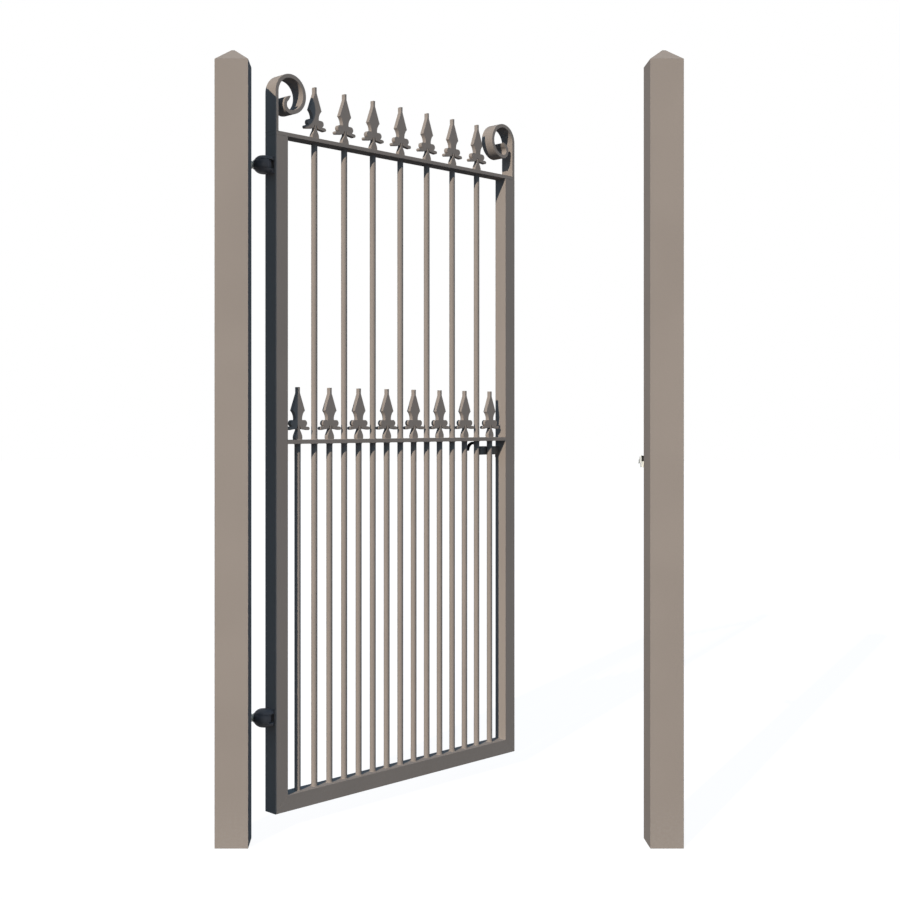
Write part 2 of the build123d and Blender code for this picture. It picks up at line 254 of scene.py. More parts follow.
# %% Taupe paint
PAINT_TINT = (0.325, 0.276, 0.232)
PAINT_DEEP, PAINT_LIGHT = 0.955, 1.035
PAINT_ROUGHNESS = 0.46
DUST_TINT = colour(0.40, 0.37, 0.33)
DUST_HEIGHT = 0.16
DRIFT_SCALE, MOTTLE_SCALE, PEEL_SCALE, GRIT_SCALE = 5.0, 620.0, 430.0, 150.0


def taupe_finish(name):
    """Powder coat with orange peel, slow drift and a little dust."""
    material, surface, place = new_material(name)
    drift = place.noise(DRIFT_SCALE, detail=1.0).between(0.3, 0.7)
    mottle = place.noise(MOTTLE_SCALE, detail=1.0).between(0.25, 0.75)
    peel = place.noise(PEEL_SCALE, detail=1.5, roughness=0.4)
    grit = place.noise(GRIT_SCALE, detail=4.0, roughness=0.7)
    height = place.add_node("ShaderNodeSeparateXYZ", None, {0: place}, output="Z")
    facing = place.add_node("ShaderNodeNewGeometry", output="Normal")
    upward = place.add_node("ShaderNodeSeparateXYZ", None, {0: facing}, output="Z")
    level = upward.between(0.55, 0.98)
    low = 1 - height.between(0.0, DUST_HEIGHT)
    dust = (low * 0.55 + level * 0.35) * grit.between(0.35, 0.75)
    deep = colour(*(c * PAINT_DEEP for c in PAINT_TINT))
    light = colour(*(c * PAINT_LIGHT for c in PAINT_TINT))
    painted = (drift * 0.65 + mottle * 0.35).blend_colours(deep, light)
    dusty = (dust * 0.5).blend_colours(painted, DUST_TINT)
    place.feed(surface.inputs["Base Color"], dusty)
    place.feed(surface.inputs["Roughness"], drift * 0.05 + peel * 0.08 + dust * 0.2 + PAINT_ROUGHNESS)
    raise_grain(surface, peel + mottle * 0.15, strength=0.22, depth=0.0004)
    surface.inputs["Specular IOR Level"].default_value = 0.0
    return material


taupe_paint = taupe_finish("taupe_paint")
print("made", taupe_paint.name)

# %% [markdown]
# The hinges are forged steel that has gone dark, with the soft pitting of a forging and paler clouds
# where it is worn. The latch is blackened ironwork, the lock nuts and the keep are zinc plated, which
# shows as pale grey crystals, and the buffer is black rubber, whose near-black also stands as painted
# shade in the keep's notch. Each is two tones blended by noise, and all but the rubber have a bump of
# their own.

# %% Ironmongery finishes
FORGED_DEEP, FORGED_WORN = colour(0.125, 0.118, 0.116), colour(0.180, 0.165, 0.158)
BLACK_DEEP, BLACK_WORN = colour(0.004, 0.004, 0.005), colour(0.010, 0.010, 0.011)
ZINC_DULL, ZINC_BRIGHT = colour(0.80, 0.79, 0.71), colour(0.96, 0.95, 0.86)
# The rubber's near-black also stands as painted shade in the keep's notch.
RUBBER_AND_SHADE_DEEP, RUBBER_AND_SHADE_BLOOM = colour(0.012, 0.012, 0.011), colour(0.024, 0.023, 0.021)
CRYSTAL_SCALE = 190.0


def forged_steel():
    """Dark forged steel with soft pitting."""
    material, surface, place = new_material("hinge_steel")
    pits = place.noise(260.0, detail=3.0, roughness=0.6)
    cloud = place.noise(45.0, detail=2.0).between(0.3, 0.7)
    place.feed(surface.inputs["Base Color"], cloud.blend_colours(FORGED_DEEP, FORGED_WORN))
    place.feed(surface.inputs["Roughness"], pits * 0.2 + cloud * 0.08 + 0.36)
    raise_grain(surface, pits, strength=0.3, depth=0.0004)
    surface.inputs["Metallic"].default_value = 0.1
    surface.inputs["Specular IOR Level"].default_value = 0.05
    return material


def black_iron(name, deep, worn):
    """Ironwork with a fine cast grain, clouded between two tones."""
    material, surface, place = new_material(name)
    grain = place.noise(520.0, detail=3.0, roughness=0.6)
    cloud = place.noise(60.0, detail=2.0).between(0.3, 0.7)
    place.feed(surface.inputs["Base Color"], cloud.blend_colours(deep, worn))
    place.feed(surface.inputs["Roughness"], grain * 0.18 + 0.42)
    raise_grain(surface, grain, strength=0.25, depth=0.0003)
    surface.inputs["Specular IOR Level"].default_value = 0.03
    return material


def zinc_plate():
    """Pale zinc plating: flat crystals of slightly different grey."""
    material, surface, place = new_material("galvanised_steel")
    sockets = {"Vector": place, "Scale": CRYSTAL_SCALE}
    crystals = place.add_node("ShaderNodeTexVoronoi", {"feature": "F1"}, sockets, output="Color")
    flake = place.add_node("ShaderNodeSeparateColor", None, {0: crystals}, output=0)
    haze = place.noise(90.0, detail=3.0).between(0.3, 0.7)
    tone = (flake * 0.6 + haze * 0.4).blend_colours(ZINC_DULL, ZINC_BRIGHT)
    place.feed(surface.inputs["Base Color"], tone)
    place.feed(surface.inputs["Roughness"], flake * 0.12 + haze * 0.08 + 0.34)
    surface.inputs["Metallic"].default_value = 0.3
    raise_grain(surface, flake, strength=0.15, depth=0.0002)
    return material


def rubber_and_notch_shade():
    """Black rubber with a dusty bloom. Its near-black also stands as painted shade in the keep's notch."""
    material, surface, place = new_material("black_rubber")
    bloom = place.noise(240.0, detail=3.0).between(0.4, 0.8)
    place.feed(surface.inputs["Base Color"], bloom.blend_colours(RUBBER_AND_SHADE_DEEP, RUBBER_AND_SHADE_BLOOM))
    place.feed(surface.inputs["Roughness"], bloom * 0.15 + 0.72)
    surface.inputs["Specular IOR Level"].default_value = 0.2
    return material


finishes = {
    "taupe_paint": taupe_paint,
    "hinge_steel": forged_steel(),
    "black_ironwork": black_iron("black_ironwork", BLACK_DEEP, BLACK_WORN),
    "galvanised_steel": zinc_plate(),
    "black_rubber": rubber_and_notch_shade(),
}
print("finishes", ", ".join(finishes))

# %% [markdown]
# Every CAD node gets the finish of its slot first, so that nothing is left plain. The record says which
# slot each node has. Pieces that are made later take the same finishes.

# %% Dress the CAD nodes
slot_of = {entry["node"]: entry["material_slot"] for entry in frame["record"]["subparts"]}
body_of = {name: body for body, names in frame["record"]["behaviour"]["bodies"].items() for name in names}
for name, node in nodes.items():
    node.data.materials.clear()
    node.data.materials.append(finishes[slot_of[name]])
print("dressed", len(slot_of), "nodes")

# %% [markdown]
# No arris on real metalwork is razor sharp, but on this gate the arrises of the tube are tight and draw
# crisp lines between the light and the dark faces. The copies below take the rolled corners of the CAD
# tube out to the square and then ease every sharp edge by well under a millimetre, for the paint to build
# up on. The bevel needs true edges only, so the copy's triangles are first joined into flat faces. The
# round bars stay as they are.

# %% Ease the edges
SHARP = math.radians(35)
FLAT = math.radians(1)
SAME_POINT = 1e-5
EASING_STEPS = 2


def ease_edges(piece, width):
    """Rounds the sharp edges of a piece with a narrow bevel."""
    rounding = piece.modifiers.new("eased edges", "BEVEL")
    rounding.width = width
    rounding.segments = EASING_STEPS
    rounding.limit_method = "ANGLE"
    rounding.angle_limit = SHARP
    rounding.harden_normals = True


def eased_copy(name, width, shape_up=None, reshape=None):
    """A copy of a CAD node with eased edges, which stands for that node.

    The rule shape_up moves the points of the CAD triangles, and reshape those of the joined faces.
    """
    mesh = nodes[name].data.copy()
    if "custom_normal" in mesh.attributes:
        mesh.attributes.remove(mesh.attributes["custom_normal"])
    form = bmesh.new()
    form.from_mesh(mesh)
    if shape_up is not None:
        for vertex in form.verts:
            vertex.co = shape_up(vertex.co)
    bmesh.ops.remove_doubles(form, verts=form.verts, dist=SAME_POINT)
    bmesh.ops.dissolve_limit(form, angle_limit=FLAT, verts=form.verts, edges=form.edges)
    if reshape is not None:
        for vertex in form.verts:
            vertex.co = reshape(vertex.co)
    for face in form.faces:
        face.smooth = True
    form.to_mesh(mesh)
    form.free()
    piece = bpy.data.objects.new(f"eased_{name}", mesh)
    bpy.context.scene.collection.objects.link(piece)
    ease_edges(piece, width)
    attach(piece, body_of[name])
    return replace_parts(piece, name)


def squared(place, low, high, axes, corner):
    """A rule that moves the rolled corners of a tube out to the square. The axes are those of its section."""
    back = place.inverted()
    middle = (low + high) / 2

    def shape_up(spot):
        local = back @ spot
        ends = [low[axis] if local[axis] < middle[axis] else high[axis] for axis in axes]
        near = [abs(local[axis] - end) < corner for axis, end in zip(axes, ends)]
        if all(near):
            for axis, end in zip(axes, ends):
                local[axis] = end
        return place @ local

    return shape_up


POST_CORNER = 0.0031
IRONWORK_EASING, PLATE_EASING = 0.0007, 0.0006
EASING = {
    IRONWORK_EASING: ["latch_keep", "latch_lever"],
    PLATE_EASING: ["mid_rail", "top_rail", "hinge_scroll", "latch_scroll"],
}
eased = {name: eased_copy(name, width) for width, names in EASING.items() for name in names}
for name in ("hinge_post", "latch_post"):
    low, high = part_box(name)
    eased[name] = eased_copy(name, PLATE_EASING, squared(Matrix(), low, high, (0, 1), POST_CORNER))
print("eased", len(eased), "pieces")

# %% [markdown]
# The cap is a low pyramid that ends flush with the post. Its four slopes and its small flat tip, dressed
# down with a file, are simple enough to lay out as points, square like the post below it.

# %% Pyramid caps
CAP_TIP = 0.004
CAP_DRESSING = 0.001
for name in ("hinge_post_cap", "latch_post_cap"):
    low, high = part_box(name)
    middle = (low + high) / 2
    half = (high.x - low.x) / 2
    top = high.z - CAP_DRESSING
    turns = ((-1, -1), (1, -1), (1, 1), (-1, 1))
    base = [(middle.x + half * a, middle.y + half * b, low.z) for a, b in turns]
    tip = [(middle.x + CAP_TIP * a, middle.y + CAP_TIP * b, top) for a, b in turns]
    sides = [(i, (i + 1) % 4, 4 + (i + 1) % 4, 4 + i) for i in range(4)]
    mesh = bpy.data.meshes.new(f"pyramid_{name}")
    mesh.from_pydata(base + tip, [], sides + [(3, 2, 1, 0), (4, 5, 6, 7)])
    mesh.materials.append(taupe_paint)
    piece = bpy.data.objects.new(f"pyramid_{name}", mesh)
    bpy.context.scene.collection.objects.link(piece)
    ease_edges(piece, PLATE_EASING)
    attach(piece, body_of[name])
    eased[name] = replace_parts(piece, name)
print("pyramids", round(top, 4), "m to the tip")

# %% [markdown]
# The leaf was drawn shut and then swung open about its hinges, so the easy way to place a piece on it is
# in the shut leaf's own frame: X along the leaf from the hinge axis, Y towards its back, Z up. One matrix
# swings any such place to where the leaf rests.

# %% The leaf's own frame
LEAF_OPEN = math.radians(44)
hinge_joint = frame["record"]["behaviour"]["joints"][0]
hinge_x, hinge_y = hinge_joint["pos_m"][:2]
leaf_place = Matrix.Translation((hinge_x, hinge_y, 0)) @ Matrix.Rotation(LEAF_OPEN, 4, "Z")
to_leaf = leaf_place.inverted()


def leaf_box(name):
    """The lowest and highest corner of a CAD node, in the shut leaf's frame."""
    points = [to_leaf @ vertex.co for vertex in nodes[name].data.vertices]
    low = Vector([min(p[axis] for p in points) for axis in range(3)])
    high = Vector([max(p[axis] for p in points) for axis in range(3)])
    return low, high


rail_low, rail_high = leaf_box("bottom_rail")
stile_in = leaf_box("hinge_stile")[1].x
stile_out = leaf_box("latch_stile")[0].x
mid_low, mid_high = leaf_box("mid_rail")
top_low, top_high = leaf_box("top_rail")
full_bars = [leaf_box(f"full_bar_{n}") for n in range(1, 8)]
dog_bars = [leaf_box(f"dog_bar_{n}") for n in range(1, 9)]
print("leaf", [round(c, 4) for c in (rail_low.x, rail_high.x, rail_low.z, top_high.z)])

# %% [markdown]
# The leaf's tubes are squared in the leaf's own frame. They meet in a mitre at the foot, so there a
# corner that moves sideways must also move up or down to stay in the plane of the cut.

# %% Square the leaf's tubes
FRAME_CORNER = 0.0021
TUBE_EASING = 0.0005
SAME_LEVEL = 1e-4


def squared_stile(name, side):
    """The rule for a stile, with its foot cut from the outer corner at 45 degrees."""
    low, high = leaf_box(name)
    rule = squared(leaf_place, low, high, (0, 1), FRAME_CORNER)
    outer = low.x if side == 1 else high.x

    def shape_up(spot):
        local = to_leaf @ rule(spot)
        if local.z < rail_high.z + SAME_LEVEL:
            local.z = rail_low.z + side * (local.x - outer)
        return leaf_place @ local

    return shape_up


def squared_rail(spot):
    """The rule for the bottom rail, with both ends cut at 45 degrees."""
    local = to_leaf @ squared(leaf_place, rail_low, rail_high, (1, 2), FRAME_CORNER)(spot)
    rise = local.z - rail_low.z
    if local.x < (rail_low.x + rail_high.x) / 2:
        local.x = rail_low.x + rise
    else:
        local.x = rail_high.x - rise
    return leaf_place @ local


eased["hinge_stile"] = eased_copy("hinge_stile", TUBE_EASING, squared_stile("hinge_stile", 1))
eased["latch_stile"] = eased_copy("latch_stile", TUBE_EASING, squared_stile("latch_stile", -1))
eased["bottom_rail"] = eased_copy("bottom_rail", TUBE_EASING, squared_rail)
print("eased", len(eased), "pieces in all")

# %% [markdown]
# A spearhead is cut from plate, and the foot of a good one is full and round: it swells over the rail and
# then runs up into a slim neck, which meets the heart in a small arch between the petals. The rule below
# moves the CAD outline there by one to five millimetres. Higher up the outline stays as it is.

# %% Fill out the spearheads
FOOT_SWELL = [(0.0, 0.91), (0.0042, 1.04), (0.0099, 1.22), (0.014, 1.41)]
FOOT_SWELL += [(0.0179, 1.52), (0.022, 1.43), (0.0278, 1.0)]
FOOT_REACH = 0.015
ARCH_FROM, ARCH_TO = 0.0265, 0.0312
ARCH_REACH = 0.0092
ARCH_LIFT = 0.0055
NECK_EDGE = 0.0026


def swell_at(height):
    """How many times wider the foot is at a height over the rail."""
    for (low, before), (high, after) in zip(FOOT_SWELL, FOOT_SWELL[1:]):
        if height <= high:
            return before + (after - before) * max(height - low, 0) / (high - low)
    return 1.0


def filled_out(row, level):
    """The rule for a row of spearheads that stands on a rail over its bars."""
    centres = [(low.x + high.x) / 2 for low, high in row]

    def reshape(spot):
        local = to_leaf @ spot
        centre = min(centres, key=lambda x: abs(local.x - x))
        aside = local.x - centre
        height = local.z - level
        if ARCH_FROM < height < ARCH_TO and abs(aside) < ARCH_REACH:
            share = (ARCH_REACH - abs(aside)) / (ARCH_REACH - NECK_EDGE)
            local.z += ARCH_LIFT * min(share, 1.0)
        elif abs(aside) < FOOT_REACH:
            local.x = centre + aside * swell_at(height)
        return leaf_place @ local

    return reshape


spear_rows = {"upper_spearheads": (full_bars, top_high.z), "lower_spearheads": (dog_bars, mid_high.z)}
for name, (row, level) in spear_rows.items():
    eased[name] = eased_copy(name, IRONWORK_EASING, reshape=filled_out(row, level))
print("filled out", len(full_bars) + len(dog_bars), "spearheads")

# %% [markdown]
# A fabricator's weld is a row of small overlapping puddles. A plain tube along the joint would look like
# string, so each bead is swept with a radius that swells and pinches every two millimetres or so, and no
# two puddles are quite alike. The numbers come from one seeded source, so the gate is the same each time.
# Paint goes over the beads.

# %% Weld beads
puddles = random.Random(7)
PUDDLE = 0.0024
BEAD_STEP = 0.0009
PINCH = 0.80
LEAST_SWELL, MOST_SWELL = 0.86, 1.08
BEAD_SIDES = 6


def even_steps(points, closed):
    """Points about one bead step apart along a path of straight runs, with the direction at each."""
    path = [Vector(p) for p in points]
    ends = path[1:] + path[:1] if closed else path[1:]
    steps = []
    for start, end in zip(path, ends):
        run = end - start
        count = max(2, round(run.length / BEAD_STEP))
        steps += [(start + run * (i / count), run.normalized()) for i in range(count)]
    if not closed:
        steps.append((path[-1], (path[-1] - path[-2]).normalized()))
    return steps


def lay_bead(form, points, out, radius=0.0016, closed=True):
    """Sweeps one rippled bead along a path. The path lies in the face that looks along out."""
    steps = even_steps(points, closed)
    rings = []
    swell = 1.0
    for number, (spot, along) in enumerate(steps):
        phase = number * BEAD_STEP / PUDDLE
        if phase % 1 < BEAD_STEP / PUDDLE:
            swell = puddles.uniform(LEAST_SWELL, MOST_SWELL)
        size = radius * swell * (PINCH + (1 - PINCH) * abs(math.sin(math.pi * phase)))
        across = along.cross(out).normalized()
        ring = []
        for side in range(BEAD_SIDES):
            turn = 2 * math.pi * side / BEAD_SIDES
            reach = across * (size * math.cos(turn)) + out * (size * math.sin(turn))
            ring.append(form.verts.new(spot + reach))
        rings.append(ring)
    pairs = list(zip(rings, rings[1:]))
    if closed:
        pairs.append((rings[-1], rings[0]))
    else:
        form.faces.new(rings[0])
        form.faces.new(rings[-1])
    for first, second in pairs:
        for side in range(BEAD_SIDES):
            after = (side + 1) % BEAD_SIDES
            face = form.faces.new((first[side], first[after], second[after], second[side]))
            face.smooth = True


print("puddles every", PUDDLE * 1000, "mm")

# %% [markdown]
# Most beads run round a bar or round the foot of a flat piece, so two helpers lay out those paths. A
# third takes worked geometry to the end that all such geometry comes to: an object with a name, a body to
# ride on and a finish.

# %% Paths and finished pieces
RING_POINTS = 28
SAME_PLANE = 1e-9


def ring_path(x, y, z, radius):
    """A round path about an upright."""
    turns = [2 * math.pi * i / RING_POINTS for i in range(RING_POINTS)]
    return [(x + radius * math.cos(t), y + radius * math.sin(t), z) for t in turns]


def flat_path(low, high):
    """A rectangular path in the plane where both corners have the same X, Y or Z."""
    a, b = Vector(low), Vector(high)
    level = [axis for axis in range(3) if abs(a[axis] - b[axis]) < SAME_PLANE][0]
    first, second = [axis for axis in range(3) if axis != level]
    path = []
    for one, two in ((a, a), (b, a), (b, b), (a, b)):
        corner = Vector(a)
        corner[first] = one[first]
        corner[second] = two[second]
        path.append(corner)
    return path


def finish_piece(form, name, body, slot, place=None):
    """Turns worked geometry into a piece that rides on a body, in the finish of its slot."""
    bmesh.ops.recalc_face_normals(form, faces=form.faces)
    mesh = bpy.data.meshes.new(name)
    form.to_mesh(mesh)
    form.free()
    mesh.materials.append(finishes[slot])
    piece = bpy.data.objects.new(name, mesh)
    if place is not None:
        mesh.transform(place)
    bpy.context.scene.collection.objects.link(piece)
    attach(piece, body)
    return piece


print("round paths have", RING_POINTS, "points")

# %% [markdown]
# Each bar is welded all round where it meets a rail: at its foot on the bottom rail, under and over the
# mid rail, and under the top rail. The bars' places are read from their own boxes.

# %% Welds at the bars
BAR_RADIUS = (full_bars[0][1].y - full_bars[0][0].y) / 2
BEAD_SEAT = 0.0004
up = Vector((0, 0, 1))
form = bmesh.new()
for low, high in full_bars:
    x = (low.x + high.x) / 2
    for level in (low.z, mid_low.z, mid_high.z, high.z):
        lay_bead(form, ring_path(x, 0, level, BAR_RADIUS + BEAD_SEAT), up)
for low, high in dog_bars:
    x = (low.x + high.x) / 2
    for level in (low.z, high.z):
        lay_bead(form, ring_path(x, 0, level, BAR_RADIUS + BEAD_SEAT), up)
bar_welds = finish_piece(form, "bar_welds", "leaf", "taupe_paint", leaf_place)
print("bar welds", len(bar_welds.data.polygons), "faces")

# %% [markdown]
# The spearheads stand on the rails over the bars, and each foot has a bead round its four sides. The
# scrolls stand on the ends of the top rail in the same way.

# %% Welds at the spearheads and scrolls
FOOT_HALF_WIDTH = 0.0099
FOOT_HALF_DEPTH = 0.006
FOOT_BEAD, SCROLL_BEAD = 0.0013, 0.0014
SCROLL_THICKNESS = 0.010
SCROLL_HALF_DEPTH = 0.0194
SCROLL_INSET = 0.0006
form = bmesh.new()
for row, level in spear_rows.values():
    for low, high in row:
        x = (low.x + high.x) / 2
        near = (x - FOOT_HALF_WIDTH, -FOOT_HALF_DEPTH, level)
        far = (x + FOOT_HALF_WIDTH, FOOT_HALF_DEPTH, level)
        lay_bead(form, flat_path(near, far), up, radius=FOOT_BEAD)
for start in (rail_low.x, rail_high.x - SCROLL_THICKNESS):
    near = (start + SCROLL_INSET, -SCROLL_HALF_DEPTH, top_high.z)
    far = (start + SCROLL_THICKNESS - SCROLL_INSET, SCROLL_HALF_DEPTH, top_high.z)
    lay_bead(form, flat_path(near, far), up, radius=SCROLL_BEAD)
ornament_welds = finish_piece(form, "ornament_welds", "leaf", "taupe_paint", leaf_place)
print("ornament welds", len(ornament_welds.data.polygons), "faces")

# %% [markdown]
# The frame's own joints are welded too. Outside they are ground flush and vanish under the paint, but the
# inside corners, where a grinder can't reach, keep their beads.

# %% Welds inside the frame
FRAME_BEAD = 0.0018
FRAME_BEAD_HALF = 0.0185
form = bmesh.new()
for x, turn in ((stile_in, 1), (stile_out, -1)):
    inward = Vector((turn, 0, 0))
    for level in (rail_high.z, mid_low.z, mid_high.z, top_low.z):
        line = [(x, -FRAME_BEAD_HALF, level), (x, FRAME_BEAD_HALF, level)]
        lay_bead(form, line, inward, radius=FRAME_BEAD, closed=False)
frame_welds = finish_piece(form, "frame_welds", "leaf", "taupe_paint", leaf_place)
print("frame welds", len(frame_welds.data.polygons), "faces")

# %% [markdown]
# Each hinge looks like one dark ball. It is really three pieces about an upright pin: a clevis with two
# lugs on the leaf, the eye of a bolt between the lugs, and the pin. The lugs and the eye are forged and
# turned as one ball, so one rule gives the reach of them all at each height. The eye's part of the ball
# goes only as far round as the leaf's swing leaves free.

# %% Turned shapes
MILLIMETRE = 0.001
BALL_RADIUS = 22.8
BALL_SPREAD = 4.6


def ball_reach(level):
    """How far the ball reaches from the pin at one height, in millimetres."""
    return math.sqrt(BALL_RADIUS ** 2 - level ** 2) + BALL_SPREAD


def turn_profile(form, profile, height, steps=40):
    """Turns a profile of radius and height, in millimetres, about the hinge axis."""
    rings = []
    for radius, level in profile:
        z = height + level * MILLIMETRE
        if radius == 0:
            rings.append([form.verts.new((0, 0, z))])
            continue
        turns = [2 * math.pi * i / steps for i in range(steps)]
        reach = radius * MILLIMETRE
        rings.append([form.verts.new((reach * math.cos(t), reach * math.sin(t), z)) for t in turns])
    return rings


def skin_rings(form, rings, loop=False):
    """Joins neighbouring rings with smooth faces. A ring of one point makes a fan."""
    pairs = list(zip(rings, rings[1:]))
    if loop:
        pairs.append((rings[-1], rings[0]))
    for first, second in pairs:
        count = max(len(first), len(second))
        for i in range(count):
            j = (i + 1) % count
            corners = [first[i % len(first)], first[j % len(first)]]
            corners += [second[j % len(second)], second[i % len(second)]]
            form.faces.new(list(dict.fromkeys(corners))).smooth = True


def turn_sector(form, profile, height, start, end, steps=30):
    """Turns a closed profile part of the way round, from one angle to another, and closes both ends."""
    rings = []
    for step in range(steps + 1):
        turn = math.radians(start + (end - start) * step / steps)
        ring = []
        for radius, level in profile:
            reach = radius * MILLIMETRE
            spot = (reach * math.cos(turn), reach * math.sin(turn), height + level * MILLIMETRE)
            ring.append(form.verts.new(spot))
        rings.append(ring)
    skin_rings(form, rings)
    form.faces.new(rings[0])
    form.faces.new(rings[-1])


def rounded_block(form, low, high, radius):
    """A box with rounded edges."""
    made = bmesh.ops.create_cube(form, size=1.0)["verts"]
    for vertex in made:
        for axis in range(3):
            vertex.co[axis] = high[axis] if vertex.co[axis] > 0 else low[axis]
    edges = list({edge for vertex in made for edge in vertex.link_edges})
    bmesh.ops.bevel(form, geom=edges, offset=radius, segments=3, profile=0.5, affect="EDGES")


hinge_levels = {}
for place in ("upper", "lower"):
    low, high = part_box(f"{place}_hinge_eyebolt")
    hinge_levels[place] = (low.z + high.z) / 2
print("hinges at", {place: round(level, 4) for place, level in hinge_levels.items()})

# %% [markdown]
# The clevis is two round lugs with a short neck to the stile behind each. The lugs and the pin are
# turned, as on a lathe: a short profile, written as pairs of radius and height, goes once round the pin.
# The pin has a low domed head above and a spring clip below.

# %% Hinge clevises and pins
LUG_LEVELS = (11.6, 12.8, 14.4, 16.0, 17.6, 19.0, 20.2, 21.1)
LUG = [(5.1, 11.0), (ball_reach(11.0) - 0.7, 11.0)] + [(ball_reach(z), z) for z in LUG_LEVELS]
LUG += [(10.6, 21.6), (5.1, 21.7)]
PIN = [(0, 22.7), (3.0, 22.6), (6.0, 22.3), (8.2, 22.0), (8.9, 21.6), (8.9, 20.6)]
PIN += [(5.0, 20.4), (5.0, -21.6), (4.6, -22.4), (3.6, -22.8), (0, -22.9)]
CLIP = [(5.0, -21.6), (8.4, -21.6), (8.8, -21.8), (8.8, -22.2), (8.4, -22.4), (5.0, -22.4)]
NECK_HALF = 0.0155
NECK_START = 0.009
NECK_LOW, NECK_HIGH = 0.0112, 0.0200
NECK_EASING = 0.0022
stile_face = rail_low.x
for place, level in hinge_levels.items():
    form = bmesh.new()
    for side in (1, -1):
        skin_rings(form, turn_profile(form, [(r, side * z) for r, z in LUG], level), loop=True)
        neck_low, neck_high = sorted((level + side * NECK_LOW, level + side * NECK_HIGH))
        near = (NECK_START, -NECK_HALF, neck_low)
        rounded_block(form, near, (stile_face, NECK_HALF, neck_high), NECK_EASING)
    clevis = finish_piece(form, f"{place}_ball_clevis", "leaf", "hinge_steel", leaf_place)
    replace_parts(clevis, f"{place}_hinge_clevis")
    form = bmesh.new()
    skin_rings(form, turn_profile(form, PIN, level))
    skin_rings(form, turn_profile(form, CLIP, level), loop=True)
    pin = finish_piece(form, f"{place}_turned_pin", "leaf", "hinge_steel", leaf_place)
    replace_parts(pin, f"{place}_hinge_pin")
print("turned", 2 * len(hinge_levels), "hinge pieces")

# %% [markdown]
# The eyebolt's stud has nuts, a cone washer and a threaded end. A nut is a hexagon whose corners are
# taken off by a cone at both ends, and a thread is one winding ridge. Both could be cut with booleans,
# but it is cleaner to sweep them along the stud, with the radius worked out at every angle. Sizes are in
# millimetres, as on a drawing.

# %% Nuts and threads
STUD_RADIUS = 6.0
STUD_SIDES = 48
NUT_FLAT, NUT_CORNER, NUT_FACE = 9.3, 10.9, 9.0
NUT_CHAMFER = 0.9
THREAD_PITCH, THREAD_DEPTH = 1.75, 0.42
THREAD_STEPS = 8


def hexagon_radius(turn):
    """The radius of the nut's hexagon at an angle, with a corner at angle 0."""
    sector = math.radians(60)
    return NUT_FLAT / math.cos((turn % sector) - sector / 2)


def stud_ring(form, x, level, radius_at):
    """A ring about the stud, which runs along X to the hinge axis. The radius depends on the angle."""
    ring = []
    for i in range(STUD_SIDES):
        turn = 2 * math.pi * i / STUD_SIDES
        reach = radius_at(turn) * MILLIMETRE
        aside, rise = reach * math.cos(turn), reach * math.sin(turn)
        ring.append(form.verts.new((hinge_x + x * MILLIMETRE, hinge_y + aside, level + rise)))
    return ring


def lay_collar(form, shape, level):
    """A round piece on the stud, from pairs of a place along it and a radius."""
    rings = [stud_ring(form, x, level, lambda turn, r=radius: r) for x, radius in shape]
    skin_rings(form, rings, loop=True)


def lay_nut(form, start, end, level):
    """A nut on the stud with chamfered ends."""
    shape = [(start, STUD_RADIUS), (start, NUT_FACE), (start + NUT_CHAMFER, NUT_CORNER)]
    shape += [(end - NUT_CHAMFER, NUT_CORNER), (end, NUT_FACE), (end, STUD_RADIUS)]
    rings = []
    for x, limit in shape:
        rings.append(stud_ring(form, x, level, lambda turn, m=limit: min(m, hexagon_radius(turn))))
    skin_rings(form, rings, loop=True)


def lay_thread(form, start, end, level):
    """The stud's free end with its thread, as one winding ridge."""
    steps = int((end - start) / (THREAD_PITCH / THREAD_STEPS))
    rings = []
    for step in range(steps + 1):
        x = start + (end - start) * step / steps
        lead = x / THREAD_PITCH

        def crest(turn, lead=lead):
            return STUD_RADIUS + THREAD_DEPTH * abs(math.sin(math.pi * lead + turn / 2))

        rings.append(stud_ring(form, x, level, crest))
    skin_rings(form, rings)
    form.faces.new(rings[0])


print("nuts", 2 * NUT_FLAT, "mm across the flats")

# %% [markdown]
# The stud runs through a bracket on the back of the post, with a nut on each side, so the leaf can be set
# level. The eye is a ring round the pin, and the band over it is its part of the ball. The nuts and the
# washer under the ball are zinc plated and show pale beside the dark forging.

# %% Eyebolts
STUD_NEAR, STUD_CORE = -24.0, 1.0
BRACKET_NEAR, BRACKET_FAR = -32.5, -38.0
BRACKET_HALF, BRACKET_PAST = 0.016, 0.014
BRACKET_EASING = 0.0012
NUT_THICK, NUT_THIN = 8.0, 3.2
END_GAP = 0.2
EYE_HALF, EYE_BORE = 10.4, 5.6
FREE_FROM, FREE_TO = 147, 303
BAND_SHARES = (-1, -0.8, -0.6, -0.3, 0, 0.3, 0.6, 0.8, 1)
BAND = [(ball_reach(EYE_HALF * share), EYE_HALF * share) for share in BAND_SHARES]
BAND = [(EYE_BORE, -EYE_HALF)] + BAND + [(EYE_BORE, EYE_HALF)]
EYE_RING = [(EYE_BORE, -EYE_HALF), (17.6, -EYE_HALF), (18.4, -9.6)]
EYE_RING += [(18.4, 9.6), (17.6, EYE_HALF), (EYE_BORE, EYE_HALF)]
SHANK = [(BRACKET_FAR, STUD_CORE), (BRACKET_FAR, STUD_RADIUS)]
SHANK += [(STUD_NEAR, STUD_RADIUS), (STUD_NEAR, STUD_CORE)]
WASHER = [(-29.3, STUD_RADIUS), (-29.3, 7.8), (-26.0, 11.4), (-25.2, 11.7), (-24.6, STUD_RADIUS)]
about_pin = Matrix.Translation((hinge_x, hinge_y, 0))
post_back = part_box("hinge_post")[1].y
bracket_far = hinge_x + BRACKET_FAR * MILLIMETRE
bracket_near = hinge_x + BRACKET_NEAR * MILLIMETRE
